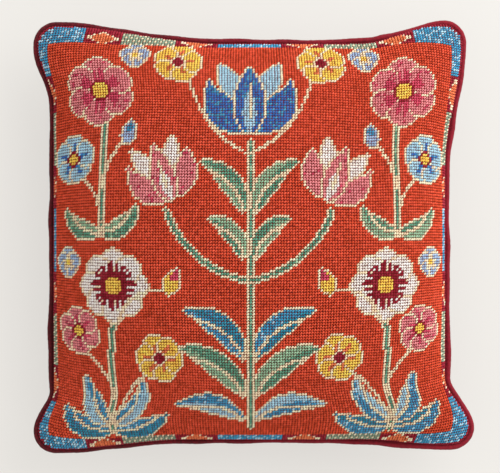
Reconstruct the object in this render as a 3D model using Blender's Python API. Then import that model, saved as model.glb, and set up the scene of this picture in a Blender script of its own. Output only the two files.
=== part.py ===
"""Square needlepoint cushion, piped all round, lying on its back with the stitched face up.

X runs to the right across the face, Y up the face and Z out of it. The floor is Z = 0.
Three pieces: the needlepoint canvas panel, the filled cushion with its back cloth, and the piping.
"""
import math

import bmesh
import bpy

MM = 0.001

# Driving sizes. The seam joins canvas, piping and back cloth, and its sides are drawn in.
SEAM_LEFT = -182.8 * MM
SEAM_RIGHT = 175.2 * MM
SEAM_TOP = 177.0 * MM
SEAM_BOTTOM = -184.8 * MM
CORNER_RADIUS = 14 * MM
SEAM_HEIGHT = 60 * MM
CROWN = 70 * MM
PANEL_THICKNESS = 2.4 * MM
PIPING_DIAMETER = 5.5 * MM
CLEARANCE = 0.35 * MM

# The back rounds down from the seam and lies flat once inside this share of its width.
FLAT_SHARE = 0.5
BACK_FULLNESS = 1.4

# The filling pushes each corner out into an ear. A row for each corner of the face:
# how far its ear stands out past the two sides, how far it runs along each of them
# from the round corner, and how far its tip lifts from the level of the seam.
EAR_COLUMNS = ("right", "up", "out_x", "out_y", "along_x", "along_y", "lift")
EARS = (
    (-1, +1, 15.0 * MM, 16.5 * MM, 142 * MM, 52 * MM, 2 * MM),
    (+1, +1, 15.8 * MM, 17.6 * MM, 72 * MM, 102 * MM, 4 * MM),
    (-1, -1, 14.8 * MM, 9.8 * MM, 112 * MM, 36 * MM, -3 * MM),
    (+1, -1, 22.8 * MM, 5.2 * MM, 76 * MM, 44 * MM, -2 * MM),
)

# Mesh steps along each side and round each corner of the seam, and from the seam to the middle.
SIDE_STEPS = 16
CORNER_STEPS = 6
RING_STEPS = 11

CENTRE_X = (SEAM_LEFT + SEAM_RIGHT) / 2
CENTRE_Y = (SEAM_BOTTOM + SEAM_TOP) / 2
HALF_X = (SEAM_RIGHT - SEAM_LEFT) / 2
HALF_Y = (SEAM_TOP - SEAM_BOTTOM) / 2

WOOL = ((0.45, 0.045, 0.022, 1), 0.9)
BACK_CLOTH = ((0.13, 0.01, 0.02, 1), 0.85)
PIPING_CLOTH = ((0.19, 0.01, 0.022, 1), 0.8)


def seam_outline():
    """Places round the seam, from -1 to 1 each way: straight sides and round corners, before the ears."""
    straight_x, straight_y = HALF_X - CORNER_RADIUS, HALF_Y - CORNER_RADIUS
    corners = []
    for quarter, (side_x, side_y) in enumerate(((1, 1), (-1, 1), (-1, -1), (1, -1))):
        arc = []
        for step in range(CORNER_STEPS + 1):
            angle = math.radians(90) * (quarter + step / CORNER_STEPS)
            arc.append((side_x * straight_x + CORNER_RADIUS * math.cos(angle),
                        side_y * straight_y + CORNER_RADIUS * math.sin(angle)))
        corners.append(arc)
    places = []
    for arc, next_arc in zip(corners, corners[1:] + corners[:1]):
        places += arc
        (x0, y0), (x1, y1) = arc[-1], next_arc[0]
        for step in range(1, SIDE_STEPS):
            share = step / SIDE_STEPS
            places.append((x0 + (x1 - x0) * share, y0 + (y1 - y0) * share))
    return [(x / HALF_X, y / HALF_Y) for x, y in places]


OUTLINE = seam_outline()


def ease(share):
    """0 to 1 with a level start and end."""
    share = min(1.0, max(0.0, share))
    return share * share * (3 - 2 * share)


def ears_near(right, up):
    """The ears' push along X and Y, and their lift, at a place on the face from -1 to 1 each way."""
    push_x, push_y, lift = 0.0, 0.0, 0.0
    for row in EARS:
        ear = dict(zip(EAR_COLUMNS, row))
        if right * ear["right"] > 0 and up * ear["up"] > 0:
            past_corner_x = (1 - abs(right)) * HALF_X - CORNER_RADIUS
            past_corner_y = (1 - abs(up)) * HALF_Y - CORNER_RADIUS
            push_x += ear["out_x"] * right * ease(1 - past_corner_y / ear["along_y"])
            push_y += ear["out_y"] * up * ease(1 - past_corner_x / ear["along_x"])
            lift += ear["lift"] * (right * up) ** 2
    return push_x, push_y, lift


def skin_place(spoke, outward, inset):
    """Where a skin passes: X, Y, the seam's height there, and how far it has bulged, from 0 to 1.

    A spoke runs from the middle to a place of the outline, and outward is 1 at the seam.
    The bulge is a half ellipse across the face each way, and nothing at the seam.
    """
    edge_right, edge_up = OUTLINE[spoke % len(OUTLINE)]
    right, up = edge_right * outward, edge_up * outward
    at_edge = (1 - edge_right ** 2) * (1 - edge_up ** 2)
    bulge = math.sqrt(max(0.0, (1 - right ** 2) * (1 - up ** 2) - at_edge) / (1 - at_edge))
    push_x, push_y, lift = ears_near(right, up)
    x = CENTRE_X + right * (HALF_X - inset) + push_x
    y = CENTRE_Y + up * (HALF_Y - inset) + push_y
    return x, y, SEAM_HEIGHT + lift, bulge


def front_point(spoke, outward, inset, drop=0.0):
    """A point of the crowned front, inset from the stitched side, with the seam lower by a drop."""
    x, y, seam, bulge = skin_place(spoke, outward, inset)
    return x, y, seam - drop + (SEAM_HEIGHT + CROWN - inset - seam + drop) * bulge


def back_point(spoke, outward):
    """A point of the back, which its own weight presses flat on the floor in the middle."""
    x, y, seam, bulge = skin_place(spoke, outward, 0.0)
    flat_from = math.sqrt(1 - FLAT_SHARE ** 2)
    above_floor = (1 - min(1.0, bulge / flat_from)) ** BACK_FULLNESS
    return x, y, (seam - CLEARANCE) * above_floor


def shaped_ball(name, place):
    """A closed body made from a ball. place(spoke, ring) gives its points, and ring 0 is its widest."""
    mesh = bpy.data.meshes.new(name)
    ball = bmesh.new()
    rings = 2 * (RING_STEPS + 1)
    bmesh.ops.create_uvsphere(ball, u_segments=len(OUTLINE), v_segments=rings, radius=1)
    for vert in ball.verts:
        longitude = math.atan2(vert.co.y, vert.co.x) / (2 * math.pi)
        latitude = math.asin(max(-1.0, min(1.0, vert.co.z))) / math.pi
        vert.co = place(round(longitude * len(OUTLINE)), round(latitude * rings))
    bmesh.ops.triangulate(ball, faces=ball.faces, quad_method="SHORT_EDGE")
    bmesh.ops.recalc_face_normals(ball, faces=ball.faces)
    ball.to_mesh(mesh)
    ball.free()
    mesh.shade_smooth()
    mesh.set_sharp_from_angle(angle=math.radians(50))
    return bpy.data.objects.new(name, mesh)


def outward_at(ring, last_ring):
    """1 at the seam and 0 in the middle. The rings close up towards the seam, where a skin is steepest."""
    return math.cos(math.pi / 2 * ring / last_ring)


def panel_place(spoke, ring):
    """The upper half of the ball is the stitched side, and the lower half the underside of the canvas."""
    if ring >= 0:
        return front_point(spoke, outward_at(ring, RING_STEPS + 1), 0.0)
    return front_point(spoke, outward_at(-ring - 1, RING_STEPS), PANEL_THICKNESS)


def cushion_place(spoke, ring):
    """The upper half lies under the panel, on a ledge at the seam, and the lower half is the back."""
    if ring > 0:
        inset = PANEL_THICKNESS + CLEARANCE
        return front_point(spoke, outward_at(ring - 1, RING_STEPS), inset, CLEARANCE)
    return back_point(spoke, outward_at(-ring, RING_STEPS + 1))


def piping_object():
    """A round cord in its cloth, sewn into the seam all round as one closed ring."""
    centre_line = bpy.data.curves.new("piping", "CURVE")
    centre_line.dimensions = "3D"
    centre_line.bevel_depth = PIPING_DIAMETER / 2
    centre_line.bevel_resolution = 2
    line = centre_line.splines.new("POLY")
    line.points.add(len(OUTLINE) - 1)
    line.use_cyclic_u = True
    outside_seam = PIPING_DIAMETER / 2 + CLEARANCE
    seam = [front_point(spoke, 1.0, 0.0, CLEARANCE / 2) for spoke in range(len(OUTLINE))]
    for spoke, (x, y, z) in enumerate(seam):
        before, after = seam[spoke - 1], seam[(spoke + 1) % len(seam)]
        along_x, along_y = after[0] - before[0], after[1] - before[1]
        share = outside_seam / math.hypot(along_x, along_y)
        line.points[spoke].co = (x + along_y * share, y - along_x * share, z, 1)
    return bpy.data.objects.new("piping", centre_line)


def cloth_material(name, look):
    """Plain cloth: no metal, and rough."""
    colour, roughness = look
    material = bpy.data.materials.new(name)
    material.use_nodes = True
    shader = material.node_tree.nodes["Principled BSDF"]
    shader.inputs["Base Color"].default_value = colour
    shader.inputs["Roughness"].default_value = roughness
    shader.inputs["Metallic"].default_value = 0.0
    return material


def build():
    """Clears the scene and makes the cushion in its own collection."""
    for old in list(bpy.data.objects):
        bpy.data.objects.remove(old, do_unlink=True)
    group = bpy.data.collections.new("needlepoint_cushion")
    bpy.context.scene.collection.children.link(group)
    pieces = (
        (shaped_ball("needlepoint_panel", panel_place), WOOL),
        (shaped_ball("cushion", cushion_place), BACK_CLOTH),
        (piping_object(), PIPING_CLOTH),
    )
    for piece, look in pieces:
        piece.data.materials.append(cloth_material(piece.name + "_cloth", look))
        group.objects.link(piece)


build()
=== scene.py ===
"""Looks of a square needlepoint cushion that lies on its back with the stitched face up.

X runs to the right across the face, Y up the face and Z out of it, all in metres.
"""
import math

import bpy
import numpy as np
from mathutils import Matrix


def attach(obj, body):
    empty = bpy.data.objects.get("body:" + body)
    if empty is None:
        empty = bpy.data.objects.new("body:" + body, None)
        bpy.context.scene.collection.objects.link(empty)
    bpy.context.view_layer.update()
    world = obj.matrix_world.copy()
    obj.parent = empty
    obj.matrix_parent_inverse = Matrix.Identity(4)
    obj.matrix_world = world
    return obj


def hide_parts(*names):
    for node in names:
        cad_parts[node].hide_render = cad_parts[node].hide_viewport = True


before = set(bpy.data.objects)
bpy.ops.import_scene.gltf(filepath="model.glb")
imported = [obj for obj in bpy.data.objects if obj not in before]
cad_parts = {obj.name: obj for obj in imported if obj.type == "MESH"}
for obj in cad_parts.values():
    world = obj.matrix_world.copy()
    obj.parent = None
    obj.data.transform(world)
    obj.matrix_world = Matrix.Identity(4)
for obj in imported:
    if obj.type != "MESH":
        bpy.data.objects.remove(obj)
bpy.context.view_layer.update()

# The filled body. A case with the canvas in front and plain dark red cotton behind is sewn all
# round and stuffed until it is plump: its middle swells, its sides draw in and its corners stand
# out as four ears. It lies on its back, which its own weight presses flat.
SEAM_LEFT = -0.1828
SEAM_RIGHT = 0.1752
SEAM_TOP = 0.1770
SEAM_BOTTOM = -0.1848
CORNER_RADIUS = 0.014
SEAM_HEIGHT = 0.060
CROWN = 0.070
BODY_INSET = 0.00275
ROLL_OUT = 0.0028
ROLL_OUT_AT_CORNER = 0.0029
ROLL_FULL = 0.0055
ROLL_GONE = 0.035
ON_CORD = 0.0018
ON_CORD_AT_CORNER = 0.0029
ON_CORD_LIFT = 0.6
ON_CORD_GONE = 0.006
TOWARDS_CORNER = 4
ALONG_SIDE = 12
BACK_FLAT_SHARE = 0.5
BACK_FULLNESS = 1.4
# How far each ear stands out past its two sides, how far it runs along them, and how it lifts.
EAR_COLUMNS = ("right", "up", "out_x", "out_y", "along_x", "along_y", "lift")
EARS = (
    (-1, +1, 0.0150, 0.0165, 0.142, 0.052, 0.002),
    (+1, +1, 0.0158, 0.0176, 0.072, 0.102, 0.004),
    (-1, -1, 0.0148, 0.0098, 0.112, 0.036, -0.003),
    (+1, -1, 0.0228, 0.0052, 0.076, 0.044, -0.002),
)
CENTRE_X = (SEAM_LEFT + SEAM_RIGHT) / 2
CENTRE_Y = (SEAM_BOTTOM + SEAM_TOP) / 2
HALF_X = (SEAM_RIGHT - SEAM_LEFT) / 2
HALF_Y = (SEAM_TOP - SEAM_BOTTOM) / 2

BODY_SIDE_STEPS = 40
BODY_CORNER_STEPS = 6
BODY_RINGS = 30
CLOTH_CELL = 0.005
CLOTH_PRESSURE = 4
CLOTH_SLACK = 0.03
CLOTH_FRAMES = 20
CLOTH_REACH = 0.006
SEWN_BAND = 0.004
LOOSE_BAND = 0.020
START_THINNER = 0.003
SEAM_LEDGE = 0.0004
WAVE_LENGTH = 0.314
BUMP_STRENGTH = 0.6
COTTON_THREAD = 0.0009


def ease(share):
    """0 to 1 with a level start and end."""
    share = np.clip(share, 0, 1)
    return share * share * (3 - 2 * share)


def seam_along_ray(right, up):
    """The place of the seam in line with each place of the face, seen from its middle."""
    nearest_side = np.maximum(np.maximum(np.abs(right), np.abs(up)), 1e-9)
    x, y = np.abs(right) / nearest_side * HALF_X, np.abs(up) / nearest_side * HALF_Y
    round_x, round_y = HALF_X - CORNER_RADIUS, HALF_Y - CORNER_RADIUS
    size = x * x + y * y
    towards = x * round_x + y * round_y
    root = towards ** 2 - size * (round_x ** 2 + round_y ** 2 - CORNER_RADIUS ** 2)
    in_corner = (x > round_x) & (y > round_y)
    shorter = np.where(in_corner, (towards + np.sqrt(np.maximum(root, 0))) / size, 1.0)
    return x * shorter / HALF_X, y * shorter / HALF_Y, nearest_side / shorter


def skin(right, up, inset):
    """Where the skin passes: X, Y, the seam's height there, and how far it has bulged, from 0 to 1."""
    push_x, push_y, lift = np.zeros_like(right), np.zeros_like(right), np.zeros_like(right)
    for row in EARS:
        ear = dict(zip(EAR_COLUMNS, row))
        here = (right * ear["right"] > 0) & (up * ear["up"] > 0)
        past_x = (1 - np.abs(right)) * HALF_X - CORNER_RADIUS
        past_y = (1 - np.abs(up)) * HALF_Y - CORNER_RADIUS
        push_x += here * ear["out_x"] * right * ease(1 - past_y / ear["along_y"])
        push_y += here * ear["out_y"] * up * ease(1 - past_x / ear["along_x"])
        lift += here * ear["lift"] * (right * up) ** 2
    edge_right, edge_up, _ = seam_along_ray(right, up)
    at_edge = (1 - edge_right ** 2) * (1 - edge_up ** 2)
    inside = (1 - right ** 2) * (1 - up ** 2) - at_edge
    bulge = np.sqrt(np.maximum(inside, 0) / (1 - at_edge))
    x = CENTRE_X + right * (HALF_X - inset) + push_x
    y = CENTRE_Y + up * (HALF_Y - inset) + push_y
    return x, y, SEAM_HEIGHT + lift, bulge


def front(right, up, inset, on_cord):
    """Points of the crowned front, inset from the stitched side. Just above the seam it rolls out.

    on_cord is 1 for what lies on the piping's shoulder at the seam, and 0 for what ends beside it.
    """
    x, y, seam, bulge = skin(right, up, inset)
    height = (SEAM_HEIGHT + CROWN - inset - seam) * bulge
    near, far = np.minimum(np.abs(right), np.abs(up)), np.maximum(np.abs(right), np.abs(up))
    cornered = (near / far) ** TOWARDS_CORNER
    at_seam = on_cord * (ON_CORD + (ON_CORD_AT_CORNER - ON_CORD) * cornered)
    rolled = ROLL_OUT + (ROLL_OUT_AT_CORNER - ROLL_OUT) * cornered
    out = at_seam + (rolled - at_seam) * ease(height / ROLL_FULL)
    out_x = np.sign(right) * (right / far) ** ALONG_SIDE
    out_y = np.sign(up) * (up / far) ** ALONG_SIDE
    out *= (1 - ease(height / ROLL_GONE)) / np.hypot(out_x, out_y)
    lifted = seam + height + at_seam * ON_CORD_LIFT * (1 - ease(height / ON_CORD_GONE))
    return np.stack((x + out * out_x, y + out * out_y, lifted), axis=-1)


def back(right, up):
    """Points of the back, which lies flat in the middle."""
    x, y, seam, bulge = skin(right, up, 0.0)
    flat_from = math.sqrt(1 - BACK_FLAT_SHARE ** 2)
    above_floor = (1 - np.minimum(1.0, bulge / flat_from)) ** BACK_FULLNESS
    return np.stack((x, y, seam * above_floor), axis=-1)


def seam_ring(side_steps, corner_steps):
    """Places round the seam, from -1 to 1 each way, over straight sides and round corners."""
    straight_x, straight_y = HALF_X - CORNER_RADIUS, HALF_Y - CORNER_RADIUS
    corners = []
    for quarter, (side_x, side_y) in enumerate(((1, 1), (-1, 1), (-1, -1), (1, -1))):
        angle = math.pi / 2 * (quarter + np.linspace(0, 1, corner_steps + 1))
        corners.append(np.stack((side_x * straight_x + CORNER_RADIUS * np.cos(angle),
                                 side_y * straight_y + CORNER_RADIUS * np.sin(angle)), axis=-1))
    stretches = []
    for arc, next_arc in zip(corners, corners[1:] + corners[:1]):
        share = np.arange(1, side_steps)[:, None] / side_steps
        stretches += [arc, arc[-1] + (next_arc[0] - arc[-1]) * share]
    return np.concatenate(stretches) / (HALF_X, HALF_Y)


def closed_skin(name, top, rings, bottom):
    """A closed mesh over a pile of rings, with one point above them and one below."""
    count = rings.shape[1]
    step = np.arange(count)
    beside = np.roll(step, -1)
    faces = [(0, 1 + a, 1 + b) for a, b in zip(step.tolist(), beside.tolist())]
    for ring in range(len(rings) - 1):
        upper, lower = 1 + ring * count, 1 + (ring + 1) * count
        faces += np.stack((upper + step, lower + step, lower + beside, upper + beside), axis=-1).tolist()
    last = 1 + (len(rings) - 1) * count
    faces += [(last + count, last + b, last + a) for a, b in zip(step.tolist(), beside.tolist())]
    mesh = bpy.data.meshes.new(name)
    mesh.from_pydata(np.concatenate((top[None], rings.reshape(-1, 3), bottom[None])).tolist(), [], faces)
    mesh.shade_smooth()
    piece = bpy.data.objects.new(name, mesh)
    bpy.context.scene.collection.objects.link(piece)
    return piece


def dyed(red, green, blue):
    """A dye's colour, given from 0 to 255 as a screen shows it, as the shader takes it."""
    share = np.array((red, green, blue)) / 255
    linear = np.where(share <= 0.04045, share / 12.92, ((share + 0.055) / 1.055) ** 2.4)
    return (*linear.tolist(), 1.0)


def cloth_finish(name, roughness, sheen, sheen_roughness=0.4, gloss=0.25):
    """A cloth's material, with helpers that add a node, add a ramp and link the shader's inputs."""
    material = bpy.data.materials.new(name)
    material.use_nodes = True
    tree = material.node_tree
    shader = tree.nodes["Principled BSDF"]
    shader.inputs["Roughness"].default_value = roughness
    shader.inputs["Sheen Weight"].default_value = sheen
    shader.inputs["Sheen Roughness"].default_value = sheen_roughness
    shader.inputs["Specular IOR Level"].default_value = gloss

    def node(kind, inputs, output=0, **settings):
        made = tree.nodes.new("ShaderNode" + kind)
        for setting, value in settings.items():
            setattr(made, setting, value)
        for socket, value in inputs.items():
            if isinstance(value, bpy.types.NodeSocket):
                tree.links.new(value, made.inputs[socket])
            else:
                made.inputs[socket].default_value = value
        return made.outputs[output]

    def colours(factor, stops):
        ramp = tree.nodes.new("ShaderNodeValToRGB")
        tree.links.new(factor, ramp.inputs["Fac"])
        ramp.color_ramp.elements[1].position = stops[-1][0]
        for at, _ in stops[1:-1]:
            ramp.color_ramp.elements.new(at)
        for element, (at, colour) in zip(ramp.color_ramp.elements, stops):
            element.position = at
            element.color = colour
        return ramp.outputs["Color"]

    def wear(colour, rough, height, deep):
        tree.links.new(colour, shader.inputs["Base Color"])
        if rough is not None:
            tree.links.new(rough, shader.inputs["Roughness"])
        bump = node("Bump", {"Height": height, "Distance": deep, "Strength": BUMP_STRENGTH},
                    output="Normal")
        tree.links.new(bump, shader.inputs["Normal"])

    return material, node, colours, wear


def shade_of(colour, amount, pale_highlight=0.0):
    """A darker or lighter shade of a dye, with a pale painted highlight, if one is given, added over it."""
    return tuple(min(1.0, part * amount + pale_highlight) for part in colour[:3]) + (1.0,)


def plain_cotton(name, colour):
    """Plain woven cotton: threads that cross over and under, slubs, and paler high places."""
    material, node, colours, wear = cloth_finish(name, 0.85, 0.15)
    place = node("TexCoord", {}, output="Object")
    threads = []
    for direction in ("X", "Y", "Z"):
        threads.append(node("TexWave", {"Vector": place, "Scale": WAVE_LENGTH / COTTON_THREAD,
                                        "Distortion": 1.2, "Detail": 1.0, "Detail Scale": 3.0},
                            output="Fac", bands_direction=direction))
    over = node("Math", {0: threads[0], 1: threads[1]}, operation="MAXIMUM")
    over = node("Math", {0: over, 1: threads[2]}, operation="MULTIPLY")
    slubs = node("TexNoise", {"Vector": place, "Scale": 420.0, "Detail": 3.0}, output="Fac")
    fading = node("TexNoise", {"Vector": place, "Scale": 14.0, "Detail": 2.0}, output="Fac")
    mixed = node("Math", {0: slubs, 1: 0.55, 2: 0.05}, operation="MULTIPLY_ADD")
    mixed = node("Math", {0: over, 1: 0.25, 2: mixed}, operation="MULTIPLY_ADD")
    mixed = node("Math", {0: fading, 1: 0.30, 2: mixed}, operation="MULTIPLY_ADD")
    shown = colours(mixed, ((0.2, shade_of(colour, 0.55)), (0.55, colour), (0.9, shade_of(colour, 1.5))))
    rough = node("MapRange", {"Value": slubs, "To Min": 0.75, "To Max": 0.95})
    height = node("Math", {0: slubs, 1: 0.5, 2: over}, operation="MULTIPLY_ADD")
    wear(shown, rough, height, deep=0.00025)
    return material


outline = seam_ring(BODY_SIDE_STEPS, BODY_CORNER_STEPS)
middle = np.full(1, 1e-6)
inward = np.cos(math.pi / 2 * np.arange(BODY_RINGS) / BODY_RINGS)
front_rings = front(*(outline.T[:, None] * inward[::-1, None]), BODY_INSET, 0)
front_rings[-1, :, 2] -= SEAM_LEDGE
back_rings = back(*(outline.T[:, None] * inward[:, None]))
body = closed_skin("filled_body", front(middle, middle, BODY_INSET, 0)[0],
                   np.concatenate((front_rings, back_rings)), back(middle, middle)[0])


def take_modifiers(piece):
    """Makes what the modifiers show the piece's own mesh."""
    shown = piece.evaluated_get(bpy.context.evaluated_depsgraph_get())
    mesh = bpy.data.meshes.new_from_object(shown)
    piece.modifiers.clear()
    piece.data = mesh


def swell_back(piece):
    """Cloth simulation: the air in the filling blows out the back cloth between its sewn edges."""
    mesh = piece.data
    start = np.empty(len(mesh.vertices) * 3)
    mesh.vertices.foreach_get("co", start)
    start = start.reshape(-1, 3)
    loose = ease((SEAM_HEIGHT - SEWN_BAND - start[:, 2]) / (LOOSE_BAND - SEWN_BAND))
    thinner = start.copy()
    thinner[:, 2] += START_THINNER * loose
    mesh.vertices.foreach_set("co", thinner.ravel())
    sewn = piece.vertex_groups.new(name="sewn")
    for number, hold in enumerate((1 - loose).tolist()):
        if hold > 0:
            sewn.add((number,), hold, "REPLACE")
    cloth = piece.modifiers.new("cloth", "CLOTH")
    cloth.settings.quality = 4
    cloth.settings.use_pressure = True
    cloth.settings.uniform_pressure_force = CLOTH_PRESSURE
    cloth.settings.shrink_min = -CLOTH_SLACK
    cloth.settings.effector_weights.gravity = 0
    cloth.settings.vertex_group_mass = "sewn"
    cloth.collision_settings.use_collision = False
    for number in range(1, CLOTH_FRAMES + 1):
        bpy.context.scene.frame_set(number)
    take_modifiers(piece)
    bpy.context.scene.frame_set(1)
    mesh = piece.data
    blown = np.empty(len(mesh.vertices) * 3)
    mesh.vertices.foreach_get("co", blown)
    moved = (blown.reshape(-1, 3) - start) * loose[:, None]
    length = np.linalg.norm(moved, axis=1, keepdims=True)
    moved *= np.minimum(1.0, CLOTH_REACH / np.maximum(length, 1e-9))
    blown = start + moved
    blown[:, 2] = np.maximum(blown[:, 2], 0.0)
    mesh.vertices.foreach_set("co", blown.ravel())
    piece.vertex_groups.clear()


even = body.modifiers.new("even cells", "REMESH")
even.mode = "VOXEL"
even.voxel_size = CLOTH_CELL
take_modifiers(body)
swell_back(body)
finer = body.modifiers.new("finer", "SUBSURF")
finer.levels = finer.render_levels = 1
take_modifiers(body)
body.data.shade_smooth()
body.data.materials.clear()
body.data.materials.append(plain_cotton("back_cotton", dyed(96, 20, 28)))
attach(body, "root")
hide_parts("cushion")

# The canvas. An open cotton mesh of ten holes to the inch, dyed to suit the field, is cut 16 inches
# square and stretched over the front of the filling. Its colour is darker than the dye as painted
# shade, so it shows only as dark dots between stitches.
CANVAS_TOP_INSET = 0.0013
CANVAS_BOTTOM_INSET = 0.0022
CANVAS_SIDE_STEPS = 48
CANVAS_CORNER_STEPS = 8
CANVAS_RINGS = 40
HOLE_PITCH = 0.00254


def canvas_cotton(name, colour):
    """Stiff mesh of doubled threads, a hole wherever four of them meet, with painted shade in the holes."""
    material, node, colours, wear = cloth_finish(name, 0.9, 0.02, gloss=0.1)
    place = node("TexCoord", {}, output="Object")
    threads = []
    for direction in ("X", "Y"):
        threads.append(node("TexWave", {"Vector": place, "Scale": WAVE_LENGTH / HOLE_PITCH},
                            output="Fac", bands_direction=direction))
    mesh_height = node("Math", {0: threads[0], 1: threads[1]}, operation="MAXIMUM")
    fuzz = node("TexNoise", {"Vector": place, "Scale": 900.0, "Detail": 2.0}, output="Fac")
    mixed = node("Math", {0: fuzz, 1: 0.4, 2: mesh_height}, operation="MULTIPLY_ADD")
    shown = colours(mixed, ((0.2, shade_of(colour, 0.4)), (1.2, colour)))
    wear(shown, None, mixed, deep=0.0004)
    return material


outline = seam_ring(CANVAS_SIDE_STEPS, CANVAS_CORNER_STEPS)
inward = np.cos(math.pi / 2 * np.arange(CANVAS_RINGS) / CANVAS_RINGS)
upper_rings = front(*(outline.T[:, None] * inward[::-1, None]), CANVAS_TOP_INSET, 1)
lower_rings = front(*(outline.T[:, None] * inward[:, None]), CANVAS_BOTTOM_INSET, 1)
canvas = closed_skin("canvas", front(middle, middle, CANVAS_TOP_INSET, 1)[0],
                     np.concatenate((upper_rings, lower_rings)),
                     front(middle, middle, CANVAS_BOTTOM_INSET, 1)[0])
# Dyed red, and darker than the dye as painted shade between the stitches.
canvas.data.materials.append(canvas_cotton("dyed_canvas_with_painted_shade", dyed(112, 30, 24)))
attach(canvas, "root")
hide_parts("needlepoint_panel")

# The needlework. Tent stitch in plied crewel wool, one slanted bar for each crossing of the canvas,
# worked from a chart of plants and flowers on red inside a border of blocks. Both ends of a stitch
# go down holes, so it is a plump little bar, and no two are quite alike.
CHART_SIZE = 176
BORDER_ACROSS = 13
BORDER_UP = 14
LINE_STEPS = 400
BLADE_STEPS = 90
THINNEST_HALF = 0.35
LARGE_FLOWER = 10
WOOLS = {
    "field": dyed(214, 77, 43),
    "cream": dyed(254, 226, 190),
    "white": dyed(252, 242, 232),
    "royal": dyed(44, 110, 182),
    "blue": dyed(60, 150, 188),
    "sky": dyed(166, 206, 224),
    "turquoise": dyed(40, 140, 166),
    "leaf": dyed(94, 154, 128),
    "moss": dyed(150, 186, 154),
    "sage": dyed(136, 156, 134),
    "pink": dyed(228, 136, 140),
    "rose": dyed(206, 70, 98),
    "maroon": dyed(150, 22, 44),
    "gold": dyed(255, 204, 88),
    "orange": dyed(228, 120, 74),
    "lilac": dyed(160, 184, 214),
}
WOOL_NUMBER = {wool: number for number, wool in enumerate(WOOLS)}

chart_half = (CHART_SIZE - 1) / 2
across, up = np.meshgrid(np.arange(CHART_SIZE) - chart_half, np.arange(CHART_SIZE) - chart_half)
chart = np.full(across.shape, WOOL_NUMBER["field"])


def work(stitches, wool):
    chart[stitches] = WOOL_NUMBER[wool]


def work_outlined(stitches, wool, line="cream"):
    """A shape in one wool inside a line one stitch wide."""
    wider = stitches.copy()
    wider[1:] |= stitches[:-1]
    wider[:-1] |= stitches[1:]
    wider[:, 1:] |= stitches[:, :-1]
    wider[:, :-1] |= stitches[:, 1:]
    work(wider, line)
    work(stitches, wool)


def reach_from(place, reach, turn):
    """The place that lies a reach away, upwards before it is turned to the left in degrees."""
    angle = math.radians(turn)
    return place[0] - reach * math.sin(angle), place[1] + reach * math.cos(angle)


def bowed(start, end, bend, steps):
    """Places along a bowed line, its middle lying bend stitches to the left of the straight one."""
    t = np.linspace(0, 1, steps)
    run_x, run_y = end[0] - start[0], end[1] - start[1]
    aside = 4 * bend * t * (1 - t) / math.hypot(run_x, run_y)
    return start[0] + run_x * t - run_y * aside, start[1] + run_y * t + run_x * aside


def line_of_stitches(start, end, bend=0.0):
    """A line one stitch wide."""
    xs, ys = bowed(start, end, bend, LINE_STEPS)
    stitches = np.zeros(chart.shape, bool)
    stitches[np.round(ys + chart_half).astype(int), np.round(xs + chart_half).astype(int)] = True
    return stitches


def blade(start, end, half_wide, bend=0.0, fullest=0.45):
    """A leaf or petal along a bowed line, with a point at both ends."""
    xs, ys = bowed(start, end, bend, BLADE_STEPS)
    stitches = np.zeros(chart.shape, bool)
    for t, x, y in zip(np.linspace(0, 1, len(xs)), xs, ys):
        swelling = math.sin(math.pi * t ** (math.log(0.5) / math.log(fullest)))
        half = max(half_wide * swelling, THINNEST_HALF)
        stitches |= (across - x) ** 2 + (up - y) ** 2 <= half ** 2
    return stitches


def oval(place, half_long, half_wide, turn=0.0):
    """An oval whose long way points up before it is turned to the left in degrees."""
    angle = math.radians(turn)
    aside = (across - place[0]) * math.cos(angle) + (up - place[1]) * math.sin(angle)
    along = (up - place[1]) * math.cos(angle) - (across - place[0]) * math.sin(angle)
    return (along / half_long) ** 2 + (aside / half_wide) ** 2 <= 1


def stalk(start, end, bend=0.0):
    """A stalk one stitch wide inside its cream line."""
    work_outlined(line_of_stitches(start, end, bend), "leaf")


def leaf(start, end, half_wide, bend, wool, other_half):
    """A leaf in two wools, with a cream vein between its halves."""
    shape = blade(start, end, half_wide, bend)
    work_outlined(shape, wool)
    work(shape & blade(start, end, half_wide, bend + half_wide), other_half)
    vein_end = (start[0] + (end[0] - start[0]) * 0.8, start[1] + (end[1] - start[1]) * 0.8)
    work(line_of_stitches(start, vein_end, bend * 0.8), "cream")


def tulip(place, tall, turn, near, behind):
    """A cup of three petals with two more behind."""
    for lean in (24, -24):
        foot = reach_from(place, -tall * 0.30, turn)
        work_outlined(blade(foot, reach_from(foot, tall * 0.92, turn + lean), tall * 0.15, 0, 0.5), behind)
    for lean, side in ((39, 1), (-39, -1)):
        foot = reach_from(place, -tall * 0.36, turn)
        tip = reach_from(foot, tall * 0.82, turn + lean)
        work_outlined(blade(foot, tip, tall * 0.19, side * tall * 0.14, 0.42), near)
    foot = reach_from(place, -tall * 0.44, turn)
    work_outlined(blade(foot, reach_from(foot, tall * 0.92, turn), tall * 0.19, 0, 0.42), near)
    work(blade(foot, reach_from(foot, tall * 0.6, turn), tall * 0.09, 0, 0.42), behind)
    vein = line_of_stitches(reach_from(foot, tall * 0.22, turn), reach_from(foot, tall * 0.68, turn))
    work(vein, "cream")


def round_flower(place, reach, petals, turn, wool, vein, ring, eye):
    """Petals round an eye, with short veins at the root of each, three in a large flower."""
    leans = [turn + 360 * number / petals for number in range(petals)]
    half_wide = reach * 0.875 * math.sin(math.pi / petals)
    for lean in leans:
        work_outlined(oval(reach_from(place, reach * 0.62, lean), reach * 0.36, half_wide, lean), wool)
    for lean in leans:
        for aside in ((-13, 0, 13) if reach > LARGE_FLOWER else (0,)):
            root = reach_from(place, reach * 0.3, lean + aside)
            work(line_of_stitches(root, reach_from(place, reach * 0.62, lean + aside)), vein)
    work_outlined(oval(place, reach * 0.24, reach * 0.24), eye, ring)


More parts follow.
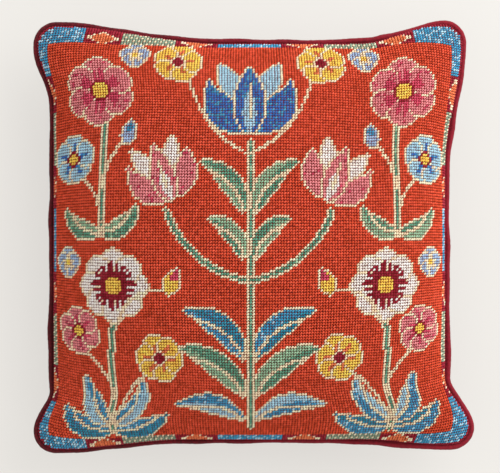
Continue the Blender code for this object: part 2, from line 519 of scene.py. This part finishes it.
def bud(place, tall, turn, wool, tip):
    """A closed bud, its tip in a second wool."""
    foot, top = reach_from(place, -tall * 0.5, turn), reach_from(place, tall * 0.5, turn)
    work_outlined(blade(foot, top, tall * 0.28, 0, 0.4), wool)
    work(blade(place, reach_from(place, tall * 0.42, turn), tall * 0.14), tip)


# The middle plant: one tall stalk with pairs of leaves and flowers, and a tulip at its top.
stalk((0, -70), (0, 34))
for side in (-1, 1):
    stalk((0, -14), (side * 29, 10), side * -5)
    work(line_of_stitches((0, 30), (side * 22, 60), side * -5), "cream")
    leaf((side * 2, -66), (side * 27, -60), 3.6, side * 4, "blue", "sky")
    leaf((side * 2, -56), (side * 26, -38), 4.2, side * 4, "leaf", "moss")
    leaf((side * 2, -42), (side * 24, -24), 4.0, side * 4, "turquoise", "blue")
    leaf((side * 2, -6), (side * 15, 8), 3.0, side * 3, "moss", "leaf")
    leaf((side * 2, 10), (side * 17, 28), 3.4, side * 3, "leaf", "moss")
    tulip((side * 31, 23), 21, side * -22, "pink", "white")
    round_flower((side * 26, 66), 8.5, 5, side * 12, "gold", "orange", "cream", "maroon")
tulip((0, 50), 28, 0, "royal", "sky")

# A low plant on each side, and another above it.
for side in (-1, 1):
    stalk((side * 50, -71), (side * 49, -26), side * -2)
    work(line_of_stitches((side * 51, -68), (side * 64, -38), side * 5), "cream")
    work(line_of_stitches((side * 49, -68), (side * 35, -46), side * -4), "cream")
    leaf((side * 50, -70), (side * 30, -64), 3.8, side * 3, "turquoise", "blue")
    leaf((side * 51, -70), (side * 70, -62), 3.8, side * -3, "blue", "turquoise")
    leaf((side * 50, -68), (side * 40, -50), 3.4, side * 3, "sky", "blue")
    leaf((side * 51, -68), (side * 62, -49), 3.4, side * -3, "blue", "sky")
    round_flower((side * 49, -16), 13, 8, 0, "white", "maroon", "maroon", "gold")
    round_flower((side * 64, -33), 8.5, 6, 10, "pink", "rose", "maroon", "gold")
    round_flower((side * 33, -42), 8.5, 6, 20, "gold", "orange", "cream", "maroon")
    work(line_of_stitches((side * 48, -30), (side * 28, -18), side * -5), "cream")
    bud((side * 27, -14), 9, side * 24, "gold", "rose")

    stalk((side * 54, 3), (side * 54, 46), side * 1)
    work(line_of_stitches((side * 54, 6), (side * 67, 24), side * 4), "cream")
    work(line_of_stitches((side * 54, 4), (side * 45, 36), side * -4), "cream")
    leaf((side * 54, 3), (side * 40, 12), 3.0, side * 3, "leaf", "moss")
    leaf((side * 54, 3), (side * 69, 11), 3.0, side * -3, "moss", "leaf")
    bud((side * 44, 38), 8, side * 14, "lilac", "blue")
    round_flower((side * 56, 54), 13, 6, 0, "pink", "rose", "maroon", "gold")
    round_flower((side * 66, 29), 8.5, 5, 0, "sky", "royal", "maroon", "gold")
    round_flower((side * 42, 69), 5, 5, 0, "lilac", "cream", "cream", "gold")
    round_flower((side * 68, -8), 5, 5, 0, "lilac", "cream", "cream", "gold")

# The border. Its blocks are counted from the middle of each side, with a lozenge on each maroon
# one and flecks on the sage one.
BORDER_BLOCKS = ((12, "blue"), (28, "maroon"), (48, "sage"), (62, "maroon"), (CHART_SIZE, "blue"))
LOZENGE_MIDDLES = (20, 55)
LOZENGE_INTO = 3.5
LOZENGE_SLOPE = 1.6
LOZENGE_REACH = 6.5
LOZENGE_INSIDE = 5
in_border = (np.abs(across) > chart_half - BORDER_ACROSS) | (np.abs(up) > chart_half - BORDER_UP)
along_side = np.minimum(np.abs(across), np.abs(up))
into_border = np.maximum(np.abs(across) - chart_half + BORDER_ACROSS,
                         np.abs(up) - chart_half + BORDER_UP)
block_start = 0
for block_end, wool in BORDER_BLOCKS:
    work(in_border & (along_side >= block_start) & (along_side < block_end), wool)
    block_start = block_end
for lozenge_middle in LOZENGE_MIDDLES:
    from_lozenge = np.abs(along_side - lozenge_middle)
    from_lozenge += LOZENGE_SLOPE * np.abs(into_border - LOZENGE_INTO)
    work(in_border & (from_lozenge < LOZENGE_REACH), "cream")
    work(in_border & (from_lozenge < LOZENGE_INSIDE), "orange")
flecked = in_border & (np.round(along_side * 2 + into_border * 3) % 4 == 0)
work(flecked & (chart == WOOL_NUMBER["sage"]), "cream")

# Here and there a stitch is worked in a near shade, more often in the blues.
NEAR_SHADES = (("blue", "sky", 0.15), ("royal", "blue", 0.25), ("leaf", "moss", 0.12),
               ("turquoise", "blue", 0.20), ("pink", "rose", 0.08))
BORDER_SKY_ABOVE = 0.86
by_chance = np.random.default_rng(9).random(chart.shape)
work(in_border & (chart == WOOL_NUMBER["blue"]) & (by_chance > BORDER_SKY_ABOVE), "sky")
for wool, strand, share in NEAR_SHADES:
    work((chart == WOOL_NUMBER[wool]) & (by_chance < share), strand)

# The holes of the canvas, SEAM_STITCHES of them from the middle to the seam. The chart runs past
# the seam, and what is past it isn't seen. Filling the case has dragged the border in or out by
# some stitches, at each corner and along stretches of the sides, and less and less further in.
SEAM_STITCHES = 80
SHIFT_UP = 0.4
SEAM_BITE = 1.008
EDGE_ROWS_FROM = 0.995
CORNER_COLUMNS = ("right", "up", "more_across", "more_up")
CORNERS = ((-1, +1, -0.5, 0.4), (+1, +1, -0.2, 2.6), (-1, -1, 0.6, -0.9), (+1, -1, 4.6, -0.2))
PULL_COLUMNS = ("across", "up", "middle", "half_length", "more")
PULLS = (
    (0, +1, -51, 22, 4.6),
    (0, +1, +68, 10, 1.8),
    (+1, 0, +58, 15, 1.3),
    (-1, 0, +46, 12, -1.2),
    (-1, 0, -64, 12, -1.2),
    (+1, 0, -57, 10, -3.3),
)
DRAG_FADING = 3
ANGLE_STEPS = 64
SQUASH_STEPS = 12
ARC_STEPS = 2000


def angle_from_flat(share, squash):
    """The angle round an ellipse at a share of its arc, from -1 to 1. squash is height by width."""
    flat_angles = np.linspace(0, math.pi / 2, ANGLE_STEPS + 1)
    squashes = np.linspace(0, CROWN / HALF_X, SQUASH_STEPS + 1)
    fine = np.linspace(0, math.pi / 2, ARC_STEPS + 1)
    rows = []
    for one in squashes:
        speed = np.sqrt(np.cos(fine) ** 2 + (one * np.sin(fine)) ** 2)
        arc = np.concatenate(((0,), np.cumsum((speed[1:] + speed[:-1]) / 2)))
        rows.append(np.interp(np.sin(flat_angles), arc / arc[-1], fine))
    table = np.array(rows)
    column = np.arcsin(np.clip(np.abs(share), 0, 1)) / (math.pi / 2) * ANGLE_STEPS
    row = np.clip(squash / squashes[-1], 0, 1) * SQUASH_STEPS
    left = np.minimum(column.astype(int), ANGLE_STEPS - 1)
    low = np.minimum(row.astype(int), SQUASH_STEPS - 1)
    x, y = column - left, row - low
    upper = table[low + 1, left] * (1 - x) + table[low + 1, left + 1] * x
    lower = table[low, left] * (1 - x) + table[low, left + 1] * x
    return np.sign(share) * (lower * (1 - y) + upper * y)


def unit(vectors):
    """The same directions, each of length 1."""
    return vectors / np.maximum(np.linalg.norm(vectors, axis=-1, keepdims=True), 1e-12)


hole_number = np.arange(CHART_SIZE + 1) - CHART_SIZE / 2
flat_across, flat_up = np.meshgrid(hole_number / SEAM_STITCHES, (hole_number + SHIFT_UP) / SEAM_STITCHES)
more_across, more_up = 1.0, 1.0
for row in CORNERS:
    corner = dict(zip(CORNER_COLUMNS, row))
    near = np.clip(flat_across * corner["right"], 0, None) * np.clip(flat_up * corner["up"], 0, None)
    more_across += corner["more_across"] / SEAM_STITCHES * near ** DRAG_FADING
    more_up += corner["more_up"] / SEAM_STITCHES * near ** DRAG_FADING
for row in PULLS:
    pull = dict(zip(PULL_COLUMNS, row))
    near = np.clip(flat_across * pull["across"] + flat_up * pull["up"], 0, None)
    along = (flat_across * abs(pull["up"]) + flat_up * abs(pull["across"])) * SEAM_STITCHES - pull["middle"]
    more = pull["more"] / SEAM_STITCHES * near ** DRAG_FADING
    more = more * np.exp(-(along / pull["half_length"]) ** 2)
    more_across += abs(pull["across"]) * more
    more_up += abs(pull["up"]) * more
flat_across, flat_up = flat_across / more_across, flat_up / more_up
straight_across = angle_from_flat(flat_across, np.full_like(flat_across, CROWN / HALF_X))
straight_up = angle_from_flat(flat_up, np.full_like(flat_up, CROWN / HALF_Y))
hole_right = np.sin(angle_from_flat(flat_across, CROWN / HALF_X * np.cos(straight_up)))
hole_up = np.sin(angle_from_flat(flat_up, CROWN / HALF_Y * np.cos(straight_across)))
_, _, hole_outward = seam_along_ray(flat_across, flat_up)
_, _, placed_outward = seam_along_ray(hole_right, hole_up)
pull_in = np.maximum(placed_outward, 1.0)
holes = front(hole_right / pull_in, hole_up / pull_in, CANVAS_TOP_INSET, 1)
facing = unit(np.cross(np.gradient(holes, axis=1), np.gradient(holes, axis=0)))

# Where the edge is steep, the last rows before the seam are maroon: a dark edge row, and painted shade for
# the crease at the seam.
maroon_shade_rows = (placed_outward[:-1, :-1] + placed_outward[1:, 1:]) / 2 > EDGE_ROWS_FROM
work(in_border & maroon_shade_rows, "maroon")

YARN_FULLNESS = 1.04
YARN_HEIGHT = 0.00115
YARN_SINK = 0.0003
TIP_SINK = 0.0008
FLANK_LIFT = 0.0001
SHOULDER = 0.22
UNEVEN_WIDTH = 0.09
UNEVEN_HEIGHT = 0.00008
UNEVEN_SLIDE = 0.045
UNEVEN_PLACE = 0.09
uneven = np.random.default_rng(16).normal(0, 1, (6, CHART_SIZE, CHART_SIZE)).clip(-2, 2)
inside_seam = (hole_outward[:-1, :-1] + hole_outward[1:, 1:]) / 2 < SEAM_BITE


def wool_finish(name, colour):
    """Soft matt wool: plies along the stitch, loose fibres, a shade that differs by stitch, and painted
    shade and highlight.
    """
    material, node, colours, wear = cloth_finish(name, 0.9, 0.03, 0.5, gloss=0.12)
    place = node("TexCoord", {}, output="Object")
    along_yarn = node("UVMap", {}, output="UV", uv_map="Yarn")
    plies = node("TexWave", {"Vector": along_yarn, "Scale": 1.9, "Distortion": 2.2, "Detail": 2.0},
                 output="Fac", bands_direction="DIAGONAL")
    fibres = node("TexNoise", {"Vector": place, "Scale": 1500.0, "Detail": 3.0}, output="Fac")
    stitch = node("Attribute", {}, output="Fac", attribute_name="shade")
    dye = node("TexNoise", {"Vector": place, "Scale": 22.0, "Detail": 2.0}, output="Fac")

    def away_from(axis, middle, reach, sharpness, **settings):
        along = node("SeparateXYZ", {0: along_yarn}, output=axis)
        away = node("Math", {0: along, 1: middle}, operation="SUBTRACT")
        away = node("Math", {0: away}, operation="ABSOLUTE")
        away = node("Math", {0: away, 1: reach}, operation="MULTIPLY")
        return node("Math", {0: away, 1: sharpness}, operation="POWER", **settings)

    # Painted shade: each stitch is darker towards both ends, where it goes down into the holes, and on its
    # flanks and underside.
    painted_shade_at_ends = away_from("X", 0.5, 2.0, 3.0)
    painted_shade_at_sides = away_from("Y", 0.25, 4.0, 2.5, use_clamp=True)
    mixed = node("Math", {0: fibres, 1: 0.5, 2: 0.29}, operation="MULTIPLY_ADD")
    mixed = node("Math", {0: dye, 1: 0.20, 2: mixed}, operation="MULTIPLY_ADD")
    mixed = node("Math", {0: plies, 1: 0.12, 2: mixed}, operation="MULTIPLY_ADD")
    mixed = node("Math", {0: stitch, 1: 0.12, 2: mixed}, operation="MULTIPLY_ADD")
    mixed = node("Math", {0: painted_shade_at_ends, 1: -0.44, 2: mixed}, operation="MULTIPLY_ADD")
    mixed = node("Math", {0: painted_shade_at_sides, 1: -0.16, 2: mixed}, operation="MULTIPLY_ADD")
    # The lightest shade, reached by the loose fibres and the middle of each stitch, is paler and greyer
    # than the dye: a painted highlight.
    painted_highlight = shade_of(colour, 1.35, pale_highlight=0.03)
    shown = colours(mixed, ((0.0, shade_of(colour, 0.3)), (0.5, colour), (0.9, painted_highlight)))
    rough = node("MapRange", {"Value": fibres, "To Min": 0.8, "To Max": 1.0})
    height = node("Math", {0: fibres, 1: 0.6, 2: plies}, operation="MULTIPLY_ADD")
    wear(shown, rough, height, deep=0.0002)
    return material


wool_materials = [wool_finish("wool_" + wool, colour) for wool, colour in WOOLS.items()]

# A bar has ten points: its start, four round each of two shoulders, and its end. Its faces are two
# pointed tips and a sleeve between the shoulders, each with its place along and round the yarn.
BAR_POINTS = 10
QUARTERS = range(4)
TIP_FACES = np.array([(0, 1 + a, 1 + (a + 1) % 4) for a in QUARTERS]
                     + [(9, 5 + (a + 1) % 4, 5 + a) for a in QUARTERS])
SIDE_FACES = np.array([(1 + a, 5 + a, 5 + (a + 1) % 4, 1 + (a + 1) % 4) for a in QUARTERS])
TIP_PLACES = np.array([((0, (a + 0.5) / 4), (0.25, a / 4), (0.25, (a + 1) / 4)) for a in QUARTERS]
                      + [((1, (a + 0.5) / 4), (0.75, (a + 1) / 4), (0.75, a / 4)) for a in QUARTERS])
SIDE_PLACES = np.array([((0.25, a / 4), (0.75, a / 4), (0.75, (a + 1) / 4), (0.25, (a + 1) / 4))
                        for a in QUARTERS])
CELL_MARGIN = 0.08


def stitches(name, chosen):
    """One piece of all the chosen stitches."""
    rows, columns = np.nonzero(chosen & inside_seam)
    count = len(rows)
    width, height, slide, aside_by, shade, lean = uneven[:, rows, columns, None]
    start, end = holes[rows, columns], holes[rows + 1, columns + 1]
    out = unit(facing[rows, columns] + facing[rows + 1, columns + 1]
               + facing[rows + 1, columns] + facing[rows, columns + 1])
    half_way = (holes[rows + 1, columns] - holes[rows, columns + 1]) / 4
    along = end - start
    wide = half_way * YARN_FULLNESS * (1 + UNEVEN_WIDTH * width)
    points = [start - out * TIP_SINK]
    for at, drift in ((SHOULDER, lean), (1 - SHOULDER, -lean)):
        place = start + along * (at + UNEVEN_SLIDE * slide)
        place = place + half_way * UNEVEN_PLACE * (aside_by + drift)
        top = place + out * (YARN_HEIGHT + UNEVEN_HEIGHT * height)
        flank = place + out * FLANK_LIFT
        points += [flank + wide, top, flank - wide, place - out * YARN_SINK]
    points.append(end - out * TIP_SINK)
    corners = np.stack(points, axis=1).reshape(-1, 3)
    first = BAR_POINTS * np.arange(count)[:, None, None]
    tips, sides = (TIP_FACES + first).reshape(-1, 3), (SIDE_FACES + first).reshape(-1, 4)
    mesh = bpy.data.meshes.new(name)
    mesh.from_pydata(corners.tolist(), [], tips.tolist() + sides.tolist())
    wools_used = np.unique(chart[rows, columns])
    for number in wools_used:
        mesh.materials.append(wool_materials[number])
    slots = np.searchsorted(wools_used, chart[rows, columns])
    slots = np.concatenate((np.repeat(slots, len(TIP_FACES)), np.repeat(slots, len(SIDE_FACES))))
    mesh.polygons.foreach_set("material_index", slots)
    mesh.shade_smooth()
    shades = mesh.attributes.new("shade", "FLOAT", "POINT")
    shades.data.foreach_set("value", np.repeat(shade[:, 0], BAR_POINTS))
    # Each stitch has a cell of its own on the colour sheet.
    cells = math.ceil(math.sqrt(count))
    cell = np.stack((np.arange(count) % cells, np.arange(count) // cells), axis=-1)[:, None]
    on_yarn, on_sheet = [], []
    for places in (TIP_PLACES.reshape(-1, 2), SIDE_PLACES.reshape(-1, 2)):
        on_yarn.append(np.tile(places, (count, 1)))
        on_sheet.append(((cell + CELL_MARGIN + (1 - 2 * CELL_MARGIN) * places) / cells).reshape(-1, 2))
    mesh.uv_layers.new(name="OFBake").data.foreach_set("uv", np.concatenate(on_sheet).ravel())
    mesh.uv_layers.new(name="Yarn").data.foreach_set("uv", np.concatenate(on_yarn).ravel())
    piece = bpy.data.objects.new(name, mesh)
    bpy.context.scene.collection.objects.link(piece)
    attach(piece, "root")
    return piece


in_field = (chart == WOOL_NUMBER["field"]) & ~in_border
needlework = [
    stitches("field_stitches_left", in_field & (across < 0)),
    stitches("field_stitches_right", in_field & (across > 0)),
    stitches("flower_stitches", ~in_field & ~in_border),
    stitches("border_stitches", in_border),
]

# The piping. A cord covered in a bias strip of dark red cotton is sewn into the seam all round.
# Its two ends overlap on the top side, where they make a small lump.
PIPING_RADIUS = 0.0025
PIPING_OUT = 0.0036
SEAM_ALLOWANCE = 0.0031
# Where the cord strays from its even distance to the seam: the side, the place and how far.
SWAY_COLUMNS = ("side_x", "side_y", "middle", "half_length", "out")
SWAYS = (
    (-1, 0, 0.012, 0.022, 0.0010),
    (-1, 0, -0.095, 0.040, 0.0016),
    (+1, 0, 0.092, 0.022, 0.0018),
    (+1, 0, -0.014, 0.018, 0.0012),
    (+1, 0, -0.110, 0.045, 0.0016),
    (0, -1, 0.138, 0.040, 0.0018),
    (0, -1, -0.142, 0.030, -0.0008),
    (0, -1, 0.028, 0.020, -0.0010),
    (0, +1, -0.122, 0.040, -0.0010),
    (0, +1, -0.028, 0.028, 0.0012),
    (0, +1, 0.104, 0.018, 0.0016),
    (0, +1, 0.150, 0.030, -0.0012),
)
PIPING_SIDE_STEPS = 300
PIPING_CORNER_STEPS = 24
PIPING_AROUND = 18
SIDE_FROM = 0.15
SIDE_EASE = 0.02
GIRTH_WAVES = ((23, 0.012), (61, 0.012), (97, 0.014), (163, 0.012), (211, 0.010))
PUCKER_WAVES = (251, 307, 353, 419)
PUCKER_DEPTH = 0.036
PUCKER_OUTSIDE = 0.3
SWAY_WAVES = ((19, 0.00020), (31, 0.00025), (43, 0.00015))
WAVE_TURN = 6.28
ALLOWANCE_THINNING = 30
BIAS_THREAD = 0.0006
PAINTED_LIGHT_RIGHT = 0.44
PAINTED_LIGHT_TOP = 0.05
PAINTED_SHADE_AT_SEAM = 0.35
JOIN_X = 0.121
JOIN_HALF_LENGTH = 0.007
JOIN_STEP = 0.0009
JOIN_SWELL = 0.10

outline = seam_ring(PIPING_SIDE_STEPS, PIPING_CORNER_STEPS)
seam_line = front(outline[:, 0], outline[:, 1], 0.0, 0)
onward = unit(np.roll(seam_line, -1, axis=0) - np.roll(seam_line, 1, axis=0))
outward = unit(np.stack((onward[:, 1], -onward[:, 0], 0 * onward[:, 0]), axis=-1))
upward = np.cross(outward, onward)
travelled = np.concatenate(((0,), np.cumsum(np.linalg.norm(np.diff(seam_line, axis=0), axis=1))))
whole_way = travelled[-1] + np.linalg.norm(seam_line[0] - seam_line[-1])
turn = 2 * math.pi * travelled[:, None] / whole_way
around = 2 * math.pi * np.arange(PIPING_AROUND) / PIPING_AROUND
draws = np.random.default_rng(5)
swell = np.zeros((len(outline), PIPING_AROUND))
for waves, depth in GIRTH_WAVES:
    swell += depth * np.sin(waves * turn + draws.integers(-2, 3) * around + draws.uniform(0, WAVE_TURN))
towards_seam = np.maximum(0, -np.cos(around))
for waves in PUCKER_WAVES:
    pucker = np.sin(waves * turn + draws.integers(-2, 3) * around + draws.uniform(0, WAVE_TURN))
    swell += PUCKER_DEPTH * pucker * (PUCKER_OUTSIDE + (1 - PUCKER_OUTSIDE) * towards_seam)
sway = np.zeros((len(outline), 1))
for waves, reach in SWAY_WAVES:
    sway += reach * np.sin(waves * turn + draws.uniform(0, WAVE_TURN))
for row in SWAYS:
    bend = dict(zip(SWAY_COLUMNS, row))
    sideways = seam_line[:, 0] * bend["side_x"] + seam_line[:, 1] * bend["side_y"]
    on_side = ease((sideways - SIDE_FROM) / SIDE_EASE)
    along = seam_line[:, 0] * abs(bend["side_y"]) + seam_line[:, 1] * abs(bend["side_x"]) - bend["middle"]
    sway[:, 0] += on_side * bend["out"] * np.exp(-(along / bend["half_length"]) ** 2)
from_join = (seam_line[:, 0] - JOIN_X) / JOIN_HALF_LENGTH
lump = np.where(seam_line[:, 1] > 0, np.exp(-from_join ** 2), 0)
radius = PIPING_RADIUS * (1 + swell + JOIN_SWELL * lump[:, None])
radius += (SEAM_ALLOWANCE + sway) * towards_seam ** ALLOWANCE_THINNING
centre = seam_line + outward * (PIPING_OUT + JOIN_STEP * lump[:, None] + sway)
tube = (centre[:, None] + outward[:, None] * (radius * np.cos(around))[..., None]
        + upward[:, None] * (radius * np.sin(around))[..., None])


def bias_cotton(name, colour):
    """Fine cotton cut on the bias, so that its threads run round the cord at a slant, with painted light
    and shade.
    """
    material, node, colours, wear = cloth_finish(name, 0.8, 0.15)
    on_strip = node("UVMap", {}, output="UV", uv_map="Strip")
    place = node("TexCoord", {}, output="Object")
    threads = []
    for angle in (math.pi / 4, -math.pi / 4):
        turned = node("Mapping", {"Vector": on_strip, "Rotation": (0, 0, angle)})
        threads.append(node("TexWave", {"Vector": turned, "Scale": WAVE_LENGTH / BIAS_THREAD,
                                        "Distortion": 1.0, "Detail": 1.0},
                            output="Fac", bands_direction="X"))
    over = node("Math", {0: threads[0], 1: threads[1]}, operation="MULTIPLY")
    slubs = node("TexNoise", {"Vector": place, "Scale": 480.0, "Detail": 3.0}, output="Fac")
    fading = node("TexNoise", {"Vector": place, "Scale": 30.0, "Detail": 2.0}, output="Fac")
    mixed = node("Math", {0: slubs, 1: 0.9, 2: -0.18}, operation="MULTIPLY_ADD")
    mixed = node("Math", {0: over, 1: 0.25, 2: mixed}, operation="MULTIPLY_ADD")
    mixed = node("Math", {0: fading, 1: 0.3, 2: mixed}, operation="MULTIPLY_ADD")
    # Painted light and shade along the cord, set on its points below.
    painted_light_and_shade = node("Attribute", {}, output="Fac", attribute_name="painted_light_and_shade")
    mixed = node("Math", {0: painted_light_and_shade, 1: 0.5, 2: mixed}, operation="MULTIPLY_ADD")
    shown = colours(mixed, ((0.2, shade_of(colour, 0.3)), (0.5, colour), (0.9, shade_of(colour, 1.6))))
    rough = node("MapRange", {"Value": slubs, "To Min": 0.7, "To Max": 0.95})
    height = node("Math", {0: slubs, 1: 0.5, 2: over}, operation="MULTIPLY_ADD")
    wear(shown, rough, height, deep=0.0003)
    return material


count = len(outline)
step, side = np.meshgrid(np.arange(count), np.arange(PIPING_AROUND), indexing="ij")
next_step, next_side = (step + 1) % count, (side + 1) % PIPING_AROUND
faces = np.stack((step * PIPING_AROUND + side, step * PIPING_AROUND + next_side,
                  next_step * PIPING_AROUND + next_side, next_step * PIPING_AROUND + side), axis=-1)
mesh = bpy.data.meshes.new("piping_cord")
mesh.from_pydata(tube.reshape(-1, 3).tolist(), [], faces.reshape(-1, 4).tolist())
mesh.shade_smooth()
far = np.append(travelled, whole_way)
girth = 2 * math.pi * PIPING_RADIUS * np.arange(PIPING_AROUND + 1) / PIPING_AROUND
strip = np.stack((np.stack((far[step], girth[side]), -1), np.stack((far[step], girth[side + 1]), -1),
                  np.stack((far[step + 1], girth[side + 1]), -1),
                  np.stack((far[step + 1], girth[side]), -1)), axis=2)
mesh.uv_layers.new(name="Strip").data.foreach_set("uv", strip.ravel())
# Painted light and shade: the cord is lighter towards the right and the top, where the window light falls,
# and darker on its side in the crease at the seam.
painted_light_and_shade = PAINTED_LIGHT_RIGHT * np.clip(tube[..., 0] / SEAM_RIGHT, -1, 1)
painted_light_and_shade += PAINTED_LIGHT_TOP * np.clip(tube[..., 1] / SEAM_TOP, -1, 1)
painted_light_and_shade -= PAINTED_SHADE_AT_SEAM * towards_seam ** 2
mesh.attributes.new("painted_light_and_shade", "FLOAT", "POINT").data.foreach_set("value", painted_light_and_shade.ravel())
mesh.materials.append(bias_cotton("bias_cotton", dyed(126, 20, 35)))
piping = bpy.data.objects.new("piping_cord", mesh)
bpy.context.scene.collection.objects.link(piping)
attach(piping, "root")
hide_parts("piping")

# The place where it is shown: a pale table, soft light all round, a window at the upper right, and
# a camera straight above the face. The window's height and turn are angles in degrees.
TABLE_SIZE = 8.0
CAMERA_X = -0.0032
CAMERA_Y = 0.0009
CAMERA_HEIGHT = 1.60
FRAME_WIDTH = 0.463
SENSOR_WIDTH = 36.0
WINDOW_POWER = 31.0
WINDOW_SIZE = 1.8
WINDOW_AWAY = 1.8
WINDOW_HEIGHT = 35
WINDOW_TURN = 43
ROOM_LIGHT = 0.76
GLOW_UNDER = 0.25
GLOW_FROM = 0.07
GLOW_FULL = 0.19


def table_paint(name, colour, glow):
    """Pale paint with a faint glow, so that shadows stay light, and less glow where the cushion lies: a
    painted contact shadow.
    """
    material, node, colours, wear = cloth_finish(name, 0.7, 0.0)
    shader = material.node_tree.nodes["Principled BSDF"]
    shader.inputs["Emission Color"].default_value = glow
    place = node("TexCoord", {}, output="Object")
    # Painted contact shadow: the glow is weaker near the middle, under the cushion.
    from_middle = node("VectorMath", {0: place}, output="Value", operation="LENGTH")
    glowing = node("MapRange", {"Value": from_middle, "From Min": GLOW_FROM, "From Max": GLOW_FULL,
                                "To Min": GLOW_UNDER, "To Max": 1.0}, interpolation_type="SMOOTHSTEP")
    material.node_tree.links.new(glowing, shader.inputs["Emission Strength"])
    grain = node("TexNoise", {"Vector": place, "Scale": 60.0, "Detail": 3.0}, output="Fac")
    shown = colours(grain, ((0.2, shade_of(colour, 0.985)), (0.8, colour)))
    wear(shown, None, grain, deep=0.00002)
    return material


half = TABLE_SIZE / 2
mesh = bpy.data.meshes.new("table")
corners = [(-half, -half, 0), (half, -half, 0), (half, half, 0), (-half, half, 0)]
mesh.from_pydata(corners, [], [(0, 1, 2, 3)])
mesh.materials.append(table_paint("table_paint", dyed(136, 134, 131), dyed(204, 202, 198)))
table = bpy.data.objects.new("table", mesh)
bpy.context.scene.collection.objects.link(table)

world = bpy.data.worlds.new("soft_room")
world.use_nodes = True
world.node_tree.nodes["Background"].inputs["Color"].default_value = dyed(250, 248, 245)
world.node_tree.nodes["Background"].inputs["Strength"].default_value = ROOM_LIGHT
bpy.context.scene.world = world
bpy.context.scene.view_settings.view_transform = "Standard"

window = bpy.data.lights.new("window_light", "AREA")
window.energy = WINDOW_POWER
window.size = WINDOW_SIZE
light = bpy.data.objects.new("window_light", window)
rise, turn = math.radians(WINDOW_HEIGHT), math.radians(WINDOW_TURN)
towards = np.array((math.cos(rise) * math.cos(turn), math.cos(rise) * math.sin(turn), math.sin(rise)))
light.location = WINDOW_AWAY * towards
light.rotation_euler = (math.pi / 2 - rise, 0, math.pi / 2 + turn)
light.visible_camera = False
bpy.context.scene.collection.objects.link(light)

lens = bpy.data.cameras.new("camera")
lens.sensor_width = SENSOR_WIDTH
lens.lens = SENSOR_WIDTH * (CAMERA_HEIGHT - SEAM_HEIGHT) / FRAME_WIDTH
camera = bpy.data.objects.new("camera", lens)
camera.location = (CAMERA_X, CAMERA_Y, CAMERA_HEIGHT)
bpy.context.scene.collection.objects.link(camera)
bpy.context.scene.camera = camera
